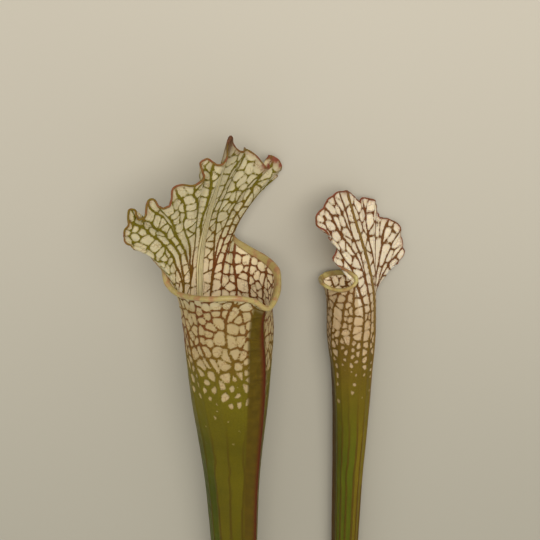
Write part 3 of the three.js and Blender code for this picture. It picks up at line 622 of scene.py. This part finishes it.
def build_leaf(leaf, tube_rows, inner_rows):
    """Rings from the foot up the outside, round the lip and down the inside, half the wall out and in
    along the normal of the middle surface. The lip is a circle whose radius grows round the mouth;
    raised veins and slightly domed windows come from the distance to a vein."""
    a = leaf_columns(leaf)[None]
    half = leaf["wall"] / 2
    surface = partial(leaf_point, leaf)

    def share(t):
        return (t - leaf["throat"]) / (leaf["length"] + leaf["throat"])
    ring = surface(a, 1 + 0 * a)
    bead = noise(ring, 7, 8)[0]
    on_hood = hood_share(leaf, a[0])
    roll = leaf["lip_radius"] * (1 + 0.08 * bead) * (1 - on_hood) + half * on_hood
    turn = 2 * pi - np.arccos(1 - leaf["wall"] / roll)
    speed = length_of(ring - surface(a, 0.98 + 0 * a))[0, :, 0] / 0.02
    stop = 1 + roll * sin(turn) / speed
    steps = arange(leaf["head_rows"] + 1)[:, None] / leaf["head_rows"]
    tube_v = share(array(tube_rows, float))[:, None] + 0 * a
    inner_v = share(array(inner_rows, float))[:, None] + 0 * a
    outer_v = concatenate([tube_v, steps * stop[None]])
    back_v = concatenate([steps[::-1] + 0 * a, inner_v])
    seeds = window_seeds(leaf)

    def face(v, side):
        x = a + 0 * v
        p = surface(x, v)
        out = normal_of(surface, x, minimum(v, 1), 2e-3)
        masks = leaf_masks(leaf, x, v, seeds)
        vein = 1 - smooth(masks["pane"], -0.35, 0.45)
        lower = smooth(-masks["height"], leaf["fill"][0], leaf["fill"][1])
        relief = VEIN_RISE * vein * (1 - lower) * (1 - masks["lip"]) + SKIN_GRAIN * noise(p, 2.2, 4)
        relief = relief - DOME * smooth(masks["pane"], 1.6, 0.2) * (1 - vein)
        crest = exp(-(masks["midrib"] / 1.1) ** 2) * smooth(masks["height"], -60, -20)
        relief = relief + leaf["midrib_rise"] * crest * (1 - masks["lip"])
        return p + out * (side * (half + relief))[..., None], masks
    outer, outer_masks = face(outer_v, 1)
    inner, inner_masks = face(back_v, -1)

    angles = (arange(LIP_STEPS - 1, 0, -1)[:, None] / LIP_STEPS) * turn[None]
    edge = ring[0]
    away = normal_of(surface, a, 1 + 0 * a, 2e-3)[0]
    onward = unit(ring - surface(a, 0.998 + 0 * a))[0]
    section = (roll - half)[None, :, None] * away - (roll * cos(angles))[..., None] * away
    section = section + (roll * sin(angles))[..., None] * onward
    lip = edge[None] + section
    lip_masks = {key: np.repeat(value[-1:], LIP_STEPS - 1, 0) for key, value in outer_masks.items()}
    lip_masks["lip"] = 1 - on_hood[None] + 0 * angles
    lip_masks["pane"] = np.full_like(angles, -1.0)
    lip_masks["rim"] = 0 * angles

    points = concatenate([outer, lip, inner])
    masks = {key: concatenate([outer_masks[key], lip_masks[key], inner_masks[key]])
             for key in outer_masks}
    reach = concatenate([clip(outer_v, 0, 1), 1 + 0 * angles, clip(back_v, 0, 1)])
    spike = leaf["spike"] * exp(-((a - leaf["apex"]) / SPIKE_WIDTH) ** 2)
    tip = unit(ring - surface(a, 0.96 + 0 * a))
    points = points + (spike * reach ** 10)[..., None] * tip
    masks["inside"] = concatenate([0 * outer_v, 0.5 + 0 * angles, 1 + 0 * back_v])
    masks["spike"] = exp(-((a - leaf["apex"]) / 0.42) ** 2) * smooth(reach, leaf["tip_from"], 1)
    cuts = (len(tube_rows), len(outer), len(outer) + len(lip) + leaf["head_rows"] + 1)
    return points, masks, cuts


def leaf_pieces(leaf, tube_rows, inner_rows):
    """The hood's back, the hood's face with the lip, and the tube of one leaf, as meshes that share the
    rings where they meet."""
    add_rim(leaf)
    points, masks, (low, turn, high) = build_leaf(leaf, tube_rows, inner_rows)
    normals = grid_normals(points)
    strips = dict(hood_back=[(low, turn)], hood=[(turn - 1, high)],
                  tube=[(0, low + 1), (high - 1, len(points))])
    pieces = []
    for key, runs in strips.items():
        rows = concatenate([arange(*run) for run in runs])
        shown = {mask: value[rows] for mask, value in masks.items()}
        pieces.append(join_grids(leaf["name"] + "_" + key, [points[slice(*run)] for run in runs],
                                 shown, normals[rows]))
    return pieces


def spaced(*runs):
    """Row heights: runs of (start, stop, step) laid end to end."""
    return concatenate([arange(start, stop, step) for start, stop, step in runs])


# Materials
def srgb(r, g, b):
    """Linear colour of a screen colour from 0 to 255."""
    c = array([r, g, b]) / 255
    low = c / 12.92
    high = ((c + 0.055) / 1.055) ** 2.4
    return tuple(where(c <= 0.04045, low, high)) + (1.0,)


class Wiring:
    """Adds nodes to one node tree and joins them."""

    def __init__(self, tree):
        self.tree = tree

    def add(self, kind, values=None, **settings):
        made = self.tree.nodes.new(kind)
        for key, value in settings.items():
            setattr(made, key, value)
        self.fill(made, values or {})
        return made

    def fill(self, node, values):
        for key, value in values.items():
            self.put(node.inputs[key], value)

    def bump(self, strength, distance, height):
        return self.add("ShaderNodeBump", {"Strength": strength, "Distance": distance,
                        "Height": height}).outputs["Normal"]

    def put(self, socket, value):
        if isinstance(value, bpy.types.NodeSocket):
            self.tree.links.new(value, socket)
        else:
            socket.default_value = value

    def math(self, operation, *values):
        made = self.add("ShaderNodeMath", operation=operation)
        for socket, value in zip(made.inputs, values):
            self.put(socket, value)
        return made.outputs[0]

    def times(self, first, second):
        return self.math("MULTIPLY", first, second)

    def plus(self, first, second):
        return self.math("ADD", first, second)

    def less(self, value):
        return self.math("SUBTRACT", 1.0, value)

    def mask(self, name):
        return self.add("ShaderNodeAttribute", attribute_name=name).outputs["Fac"]

    def step(self, value, low, high, start=0.0, end=1.0):
        made = self.add("ShaderNodeMapRange", {"Value": value, "From Min": low, "From Max": high,
                        "To Min": start, "To Max": end}, interpolation_type="SMOOTHSTEP")
        return made.outputs[0]

    def mix(self, share, first, second, blend="MIX"):
        made = self.add("ShaderNodeMix", data_type="RGBA", blend_type=blend)
        for index, value in ((0, share), (6, first), (7, second)):
            self.put(made.inputs[index], value)
        return made.outputs[2]

    def grain(self, place, scale, detail=2.0, roughness=0.5):
        made = self.add("ShaderNodeTexNoise", {"Vector": place, "Scale": scale, "Detail": detail,
                        "Roughness": roughness})
        return made.outputs["Fac"]

    def shade(self, colour, grain, low, high):
        """Colour times a value that runs from low to high with the grain."""
        value = self.step(grain, 0.25, 0.75, low, high)
        made = self.add("ShaderNodeCombineColor")
        for socket in made.inputs[:3]:
            self.put(socket, value)
        return self.mix(1.0, colour, made.outputs[0], "MULTIPLY")


def new_group(name, inputs, outputs):
    tree = bpy.data.node_groups.new(name, "ShaderNodeTree")
    for key, kind in inputs.items():
        tree.interface.new_socket(key, in_out="INPUT", socket_type=kind)
    for key, kind in outputs.items():
        tree.interface.new_socket(key, in_out="OUTPUT", socket_type=kind)
    wiring = Wiring(tree)
    return tree, wiring, wiring.add("NodeGroupInput").outputs, wiring.add("NodeGroupOutput")


TISSUE_COLOURS = ("Window", "Tube window", "Vein", "Red vein", "Tube", "Green", "Rib", "Margin", "Lip",
                  "Lip blush", "Wing", "Wing edge", "Tip", "Midrib", "Midrib thread", "Mouth window")
THREAD_SPACING = 0.95  # between the fine parallel veins of the midrib
THREAD_HALF = 0.1
LEAF_SURFACE = {"Coat Roughness": 0.3, "Specular IOR Level": 0.1, "Subsurface Weight": 0.5,
                "Subsurface Radius": (1.0, 0.8, 0.45), "Subsurface Scale": 0.0016}


def leaf_tissue_group():
    """Colour and relief of a leaf from its masks: windows in a net of veins, the tube with its ribs
    and wing, the cream lip, the pink margin, and painted light inside the mouth."""
    inputs = {name: "NodeSocketColor" for name in TISSUE_COLOURS}
    outputs = {"Color": "NodeSocketColor", "Roughness": "NodeSocketFloat", "Height": "NodeSocketFloat",
               "Lip": "NodeSocketFloat", "Glow": "NodeSocketFloat"}
    tree, w, given, out = new_group("leaf_tissue", inputs, outputs)
    place = w.add("ShaderNodeTexCoord").outputs["Object"]
    fine = w.grain(place, 1500, 2)
    middle = w.grain(place, 260, 3)
    broad = w.grain(place, 45, 3)
    pane, height, rib = w.mask("pane"), w.mask("height"), w.mask("rib")
    depth = w.times(height, -1.0)

    ragged = w.plus(pane, w.step(fine, 0.2, 0.8, -0.1, 0.1))
    ragged = w.plus(ragged, w.step(w.grain(place, 620, 2), 0.3, 0.7, -0.14, 0.14))
    window = w.step(ragged, -0.11, 0.11)
    outside = w.less(w.mask("inside"))
    lower = w.times(w.step(depth, -14, -2), w.less(w.mask("hood")))
    lower = w.times(w.math("MAXIMUM", lower, w.step(depth, -10, 12)), outside)
    glass = w.mix(lower, given["Window"], given["Tube window"])
    glass = w.mix(w.step(depth, 34, 66, 0.0, 0.7), glass, given["Tube"])
    glass = w.shade(glass, middle, 0.94, 1.05)
    # Painted light: inside the mouth the windows take the lighter Mouth window colour and a painted glow,
    # standing in for daylight through the thin wall
    mouth_light_share = w.times(w.mask("inside"), w.step(depth, -30, -4))
    glass = w.mix(mouth_light_share, glass, given["Mouth window"])
    glass = w.mix(w.step(w.mask("tint"), 0, 1, 0.0, 0.1), glass, given["Vein"])
    glass = w.mix(w.step(pane, 0.5, 0.0, 0.0, 0.3), glass, given["Vein"])
    threads = w.add("ShaderNodeTexVoronoi", {"Vector": place, "Scale": 520.0}, feature="DISTANCE_TO_EDGE")
    thread = w.step(threads.outputs["Distance"], 0.1, 0.03)
    some = w.times(thread, w.step(middle, 0.5, 0.62, 0.0, 0.4))
    glass = w.mix(some, glass, given["Red vein"])

    vein = w.mix(w.mask("red"), given["Vein"], given["Red vein"])
    vein = w.shade(vein, fine, 0.86, 1.1)
    tube = w.mix(w.mask("green"), given["Tube"], given["Green"])
    tube = w.shade(tube, broad, 0.86, 1.12)
    tube = w.shade(tube, fine, 0.92, 1.06)
    low_rib = w.times(w.step(rib, 0.75, 0.12), w.step(depth, 35, 80, 0.0, 0.75))
    tube = w.mix(low_rib, tube, given["Rib"])
    flesh = w.mix(w.step(depth, 12, 62), vein, tube)
    skin = w.mix(window, flesh, glass)
    midrib, band = w.mask("midrib"), w.mask("band")
    ruled = w.math("PINGPONG", midrib, THREAD_SPACING / 2)
    ruled = w.step(ruled, THREAD_HALF + 0.06, THREAD_HALF - 0.06)
    ruled = w.shade(w.mix(ruled, given["Midrib"], given["Midrib thread"]), middle, 0.9, 1.08)
    skin = w.mix(w.step(w.math("SUBTRACT", band, midrib), -0.05, 0.1), skin, ruled)

    wing_band = w.times(w.mask("wing"), outside)
    skin = w.mix(wing_band, skin, w.shade(given["Wing"], middle, 0.85, 1.1))
    skin = w.mix(w.times(w.mask("crest"), outside), skin, given["Wing edge"])
    lip = w.mask("lip")
    blush = w.mix(w.step(middle, 0.44, 0.66), given["Lip"], given["Lip blush"])
    blush = w.shade(blush, fine, 0.93, 1.05)
    skin = w.mix(lip, skin, blush)
    on_hood = w.mask("hood")
    edge = w.plus(w.mask("rim"), w.step(middle, 0.3, 0.7, -0.35, 0.35))
    margin = w.times(w.step(edge, 0.45, 0.1, 0.0, 0.8), on_hood)
    margin = w.times(margin, w.step(w.grain(place, 170, 1), 0.38, 0.6, 0.2, 1.0))
    margin = w.math("MAXIMUM", margin, w.times(w.mask("pink"), w.step(middle, 0.35, 0.6)))
    skin = w.mix(margin, skin, given["Margin"])
    skin = w.mix(w.mask("spike"), skin, given["Tip"])

    rough = w.step(window, 0, 1, 0.5, 0.58)
    raised = w.step(pane, 0.5, -0.4, 0.0, 1.0)
    raised = w.times(raised, w.step(depth, 70, 30))
    raised = w.plus(raised, w.times(fine, 0.35))
    w.fill(out, {"Color": skin, "Lip": lip, "Glow": w.times(mouth_light_share, w.less(lip)),
                 "Roughness": w.plus(rough, w.step(middle, 0.3, 0.7, -0.06, 0.06)),
                 "Height": w.plus(raised, w.times(low_rib, 0.4))})
    return tree


def new_material(name):
    material = bpy.data.materials.new(name)
    material.use_nodes = True
    w = Wiring(material.node_tree)
    shader = material.node_tree.nodes["Principled BSDF"]
    return material, w, shader


def leaf_material(name, group, colours, glow):
    material, w, shader = new_material(name)
    tissue = w.add("ShaderNodeGroup")
    tissue.node_tree = group
    for key, value in zip(TISSUE_COLOURS, colours):
        tissue.inputs[key].default_value = srgb(*value)
    shown = tissue.outputs
    # The emission is daylight that comes through the thin wall into the mouth
    w.fill(shader, {"Base Color": shown["Color"], "Roughness": shown["Roughness"],
                    "Normal": w.bump(0.55, 0.00025, shown["Height"]),
                    "Coat Weight": w.times(shown["Lip"], 0.35), "Emission Color": shown["Color"],
                    "Emission Strength": w.times(shown["Glow"], glow), **LEAF_SURFACE})
    return material


def bark_material(name, dark, light, scale, long_grain):
    """Brown fibrous bark: long streaks of grain over blotches, with bump from both."""
    material, w, shader = new_material(name)
    place = w.add("ShaderNodeTexCoord").outputs["Object"]
    stretched = w.add("ShaderNodeMapping", {"Vector": place, "Scale": long_grain}).outputs[0]
    fibre = w.grain(stretched, scale, 5, 0.65)
    blotch = w.grain(place, 90, 4, 0.6)
    colour = w.mix(w.step(fibre, 0.32, 0.68), srgb(*dark), srgb(*light))
    colour = w.shade(colour, blotch, 0.7, 1.15)
    height = w.plus(fibre, w.times(blotch, 0.6))
    w.fill(shader, {"Base Color": colour, "Roughness": w.step(blotch, 0.3, 0.7, 0.72, 0.9),
                    "Normal": w.bump(0.7, 0.0005, height)})
    return material


# Rhizome, sheaths, stubs and roots
def random_from(seed):
    """The same repeatable random numbers as in the CAD part."""
    state = seed
    while True:
        state = (state * 1664525 + 1013904223) % 4294967296
        yield state / 4294967296


def rod(path, radii, sides):
    """Rings of a given radius square to a path, from its level direction over the top, closed at both
    ends by rings that shrink to a point."""
    ahead = unit(np.gradient(path, axis=0))
    level = unit(cross([0.0, 0, 1], ahead))
    over = cross(ahead, level)
    turn = linspace(0, 2 * pi, sides, endpoint=False)
    radii = np.broadcast_to(np.asarray(radii, float).reshape(len(path), -1), (len(path), sides))
    rings = (path[:, None] + (radii * cos(turn))[..., None] * level[:, None]
             + (radii * sin(turn))[..., None] * over[:, None])
    first = path[0] + (rings[0] - path[0]) * 0.02
    last = path[-1] + (rings[-1] - path[-1]) * 0.02 + ahead[-1] * radii[-1].mean() * 0.4
    return concatenate([first[None], rings, last[None]])


def rhizome_body():
    """A lying rod with rounded ends; its radius drops by the scar height between ring scars and is
    roughened by noise, and its underside is pressed flat on the floor."""
    left, right = RHIZOME["ends"]
    rings, sides = BODY_MESH
    share = linspace(0, 1, rings)
    x = left + (right - left) * share
    path = stack([x, RHIZOME["axis_y"] + 1.2 * sin(x / 17), 0 * x + RHIZOME["axis_z"]], -1)
    ends = np.sqrt(clip(1 - (2 * share - 1) ** 6, 0.02, 1))
    scar = RHIZOME["scar_height"] * np.abs(sin(pi * x / RHIZOME["scar_pitch"]))
    radius = (RHIZOME["radius"] - scar - 1.2 * share) * ends
    body = rod(path, radius, sides)
    out = unit(body - concatenate([path[:1], path, path[-1:]])[:, None])
    rough = 0.35 * noise(body, 3.2, 1) + 0.2 * noise(body, 1.3, 2)
    body = body + out * rough[..., None]
    body[..., 2] = maximum(body[..., 2], 0.02 + 0.02 * noise(body, 4, 3))
    return body


def sheath(leaf):
    """Rings round a leaf's foot: up the outside, over a ragged edge and down the inside, a small gap
    clear of the leaf. Lengthwise folds run down it."""
    foot = -leaf["length"]
    rings, sides = SHEATH_MESH
    bearing = linspace(-180, 180, sides, endpoint=False)
    wall, edge, top = RHIZOME["sheath_wall"], RHIZOME["sheath_edge"], RHIZOME["sheath_top"]
    share = linspace(0, 1, rings)

    def there_and_back(rows):
        return concatenate([rows, rows[::-1][:SHEATH_INSIDE]])
    out = np.interp(share, [0, 0.65, 1], [wall, wall * 0.8, edge])
    out = concatenate([out, np.full(SHEATH_INSIDE, FOOT_GAP)])
    climb = there_and_back((top + 6) * share - 6)
    slant = there_and_back(smooth(share, 0.6, 1) * 3)
    tear = there_and_back(smooth(share, 0.7, 1))
    ring = array([bearing, bearing * 0, bearing * 0]).T
    rag = noise(ring, 9, 21) * 1.6
    t = foot + climb[:, None] + slant[:, None] * cos(radians(bearing)) + tear[:, None] * rag
    folds = FOLDS["height"] * sin(radians(bearing) * FOLDS["count"] + 2 * noise(ring, 30, 22))
    folds = folds * (out[:, None] > 0.5)
    return to_plant(leaf, tube_point(leaf, bearing + 0 * t, t, HALF_WALL + out[:, None] + folds))


def stub(x, tilt, length, radius):
    """A short blunt cone that leans by its tilt, ribbed lengthwise like a dried leaf base."""
    rise = radians(tilt)
    rings, sides = STUB_MESH
    s = linspace(0, 1, rings)
    path = stack([x + sin(rise) * length * s * 1.3,
                  RHIZOME["axis_y"] + cos(rise) * (3 + length * s),
                  RHIZOME["axis_z"] + 1.5 * s * s], -1)
    width = radius * np.interp(s, [0, 0.3, 0.6, 0.85, 1], [1, 1, 0.85, 0.6, 0.3])
    turn = linspace(0, 2 * pi, sides, endpoint=False)
    ribbed = width[:, None] * (1 + 0.07 * sin(9 * turn + x)[None] + 0.05 * sin(40 * s)[:, None])
    return rod(path, ribbed, sides)


def root_paths():
    """The CAD part's roots: each leaves the far side of the rhizome, sinks to the floor by a bell
    curve and wanders over it by a sine."""
    draw = random_from(ROOTS["seed"])
    left, right = RHIZOME["ends"]
    s = linspace(0, 1, ROOT_MESH[0])
    paths = []
    for index in range(ROOTS["count"]):
        share = (index + 0.5) / ROOTS["count"]
        x = left + 6 + (right - left - 12) * share + 3 * (next(draw) - 0.5)
        length = between(*ROOTS["length"], next(draw))
        heading = (share - 0.5) * 1.5 + 0.5 * (next(draw) - 0.5)
        high = RHIZOME["axis_z"] * (0.75 + 0.5 * ((index * 2) % 3) / 2)
        bend = 0.5 + next(draw)
        phase = 6 * next(draw)
        radius = between(*ROOTS["radius"], s)
        wander = 4 * s * sin(bend * 5 * s + phase)
        level = radius * 1.15 + (high - radius) * exp(-3.2 * s * s) * (1 - smooth(s, 0.6, 1))
        path = stack([x + sin(heading) * length * s + cos(heading) * wander,
                      RHIZOME["axis_y"] - 2 - cos(heading) * length * s + sin(heading) * wander,
                      level], -1)
        paths.append((path, radius))
    return paths


def rootlets(paths):
    """Fine side roots: tapered rods that leave a root at a slant, sink to the floor and curl."""
    rng = np.random.default_rng(ROOTLETS["seed"])
    rings, sides = ROOTLET_MESH
    s = linspace(0, 1, rings)
    grids = []
    for path, _ in paths:
        ahead = unit(np.gradient(path, axis=0))
        for _ in range(ROOTLETS["each"]):
            k = rng.integers(8, 62)
            side = rng.choice([-1, 1])
            across = unit(cross(ahead[k], [0.0, 0, 1])) * side
            course = unit(0.6 * ahead[k] + across)
            length = rng.uniform(*ROOTLETS["length"])
            curl = rng.uniform(-ROOTLETS["curl"], ROOTLETS["curl"])
            line = path[k] + course * length * s[:, None]
            line = line + cross(course, [0.0, 0, 1]) * (curl * s * s)[:, None]
            radius = ROOTLETS["radius"] * (1 - 0.7 * s)
            line[:, 2] = radius + (path[k, 2] - radius[0]) * exp(-4 * s)
            grids.append(rod(line, radius, sides))
    return grids


# Build the plant
LARGE_TUBE_ROWS = spaced((-330, -140, 6.0), (-140, -96, 1.6), (-96, -12.3, 0.72))
LARGE_INNER_ROWS = spaced((13.2, 60, 1.4), (60, 290, 8.0)) * -1
SMALL_TUBE_ROWS = spaced((-325, -120, 5.0), (-120, -76, 1.6), (-76, -8.3, 0.62))
SMALL_INNER_ROWS = spaced((9.2, 40, 1.3), (40, 285, 8.0)) * -1

large_leaf = leaf_pieces(LARGE, LARGE_TUBE_ROWS, LARGE_INNER_ROWS)
small_leaf = leaf_pieces(SMALL, SMALL_TUBE_ROWS, SMALL_INNER_ROWS)

body = join_grids("rhizome_body", [rhizome_body()])
sheaths = join_grids("leaf_sheaths", [sheath(LARGE), sheath(SMALL)])
stubs = join_grids("scale_stubs", [stub(*values) for values in STUBS])
paths = root_paths()
knobbly = [rod(path, radius[:, None] * (1 + 0.12 * noise(path * 1.0, 2.4, 6)[:, None]), ROOT_MESH[1])
           for path, radius in paths]
roots = join_grids("roots", knobbly)
fine_roots = join_grids("fine_roots", rootlets(paths))

tissue = leaf_tissue_group()
large_skin = leaf_material("large_leaf_tissue", tissue, [
    (203, 190, 152), (178, 156, 114), (108, 96, 20), (106, 60, 26), (94, 84, 8), (70, 76, 8),
    (76, 56, 8), (128, 70, 50), (168, 150, 94), (160, 118, 80), (86, 68, 10), (84, 28, 12),
    (88, 54, 32), (206, 193, 148), (112, 88, 36), (222, 202, 166)], 0.16)
small_skin = leaf_material("small_leaf_tissue", tissue, [
    (222, 206, 178), (190, 164, 126), (104, 80, 26), (104, 60, 28), (110, 94, 16), (82, 88, 12),
    (80, 54, 10), (136, 70, 52), (176, 160, 100), (160, 130, 80), (76, 54, 14), (86, 40, 14),
    (112, 70, 46), (122, 94, 44), (122, 94, 44), (232, 214, 180)], 0.32)
rhizome_bark = bark_material("rhizome_bark", (58, 38, 26), (112, 82, 56), 420, (0.35, 1, 1))
sheath_paper = bark_material("sheath_paper", (96, 66, 42), (160, 126, 84), 700, (1, 0.12, 1))
root_bark = bark_material("root_bark", (70, 46, 30), (136, 102, 70), 900, (1, 0.4, 1))

finished = [(piece, "large_pitcher", "large_leaf", large_skin) for piece in large_leaf]
finished += [(piece, "small_pitcher", "small_leaf", small_skin) for piece in small_leaf]
finished += [(body, "rhizome", "rhizome", rhizome_bark), (sheaths, "rhizome", "rhizome", sheath_paper),
             (stubs, "rhizome", "rhizome", sheath_paper), (roots, "rhizome", "rhizome", root_bark),
             (fine_roots, "rhizome", "rhizome", root_bark)]
for piece, node, slot, material in finished:
    piece.data.materials.append(material)
    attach(piece, "root")
    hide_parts(node)

# Floor
floor_material, w, shader = new_material("pale_floor")
place = w.add("ShaderNodeTexCoord").outputs["Object"]
tone = w.grain(place, 3.0, 2)
along = w.add("ShaderNodeSeparateXYZ", {"Vector": place}).outputs["Y"]
# Painted shade: the floor's colour is darker towards -Y, the bottom of the view, standing in for light
# that falls off away from the key
paper = w.mix(w.step(along, 0.0, 0.36), srgb(170, 164, 148), srgb(191, 183, 167))
w.fill(shader, {"Base Color": w.shade(paper, tone, 0.98, 1.02), "Roughness": 0.9})
turn = linspace(0, 2 * pi, FLOOR_SIDES, endpoint=False)
rings = stack([stack([radius * cos(turn), radius * sin(turn), 0 * turn], -1)
               for radius in FLOOR_RADII])
floor = make_mesh("floor", rings.reshape(-1, 3), grid_faces(len(FLOOR_RADII), FLOOR_SIDES))
floor.data.materials.append(floor_material)


# Light and camera
def area_light(name, place, aim, size, power, colour=(1, 1, 1)):
    data = bpy.data.lights.new(name, "AREA")
    data.shape = "DISK"
    data.size = size
    data.energy = power
    data.color = colour
    light = add_object(name, data)
    light.location = place
    light.rotation_euler = (Vector(aim) - Vector(place)).to_track_quat("-Z", "Y").to_euler()


area_light("key", (0.12, 0.56, 0.98), (0, 0.15, 0), 0.9, 9.6, (1.0, 0.985, 0.95))
area_light("fill", (-0.7, -0.2, 0.9), (0, 0.1, 0), 1.2, 1.5, (0.96, 0.98, 1.0))
world = bpy.data.worlds.new("studio")
world.use_nodes = True
world.node_tree.nodes["Background"].inputs["Color"].default_value = (0.93, 0.93, 0.9, 1)
world.node_tree.nodes["Background"].inputs["Strength"].default_value = 0.46
bpy.context.scene.world = world
bpy.context.scene.view_settings.view_transform = "Standard"

tilt = radians(VIEW["tilt"])
back = Vector((0, sin(tilt), cos(tilt)))
eye = Vector(PLACE + VIEW["aim"]) + back * VIEW["distance"]
camera_data = bpy.data.cameras.new("camera")
camera_data.lens = LENS
camera_data.sensor_width = 36
camera_data.clip_start = 0.01
camera_data.clip_end = 50
camera = add_object("camera", camera_data)
axes = Matrix(((1, 0, 0), (0, cos(tilt), -sin(tilt)), back)).transposed()
camera.matrix_world = Matrix.Translation(eye * MM) @ axes.to_4x4()
bpy.context.scene.camera = camera
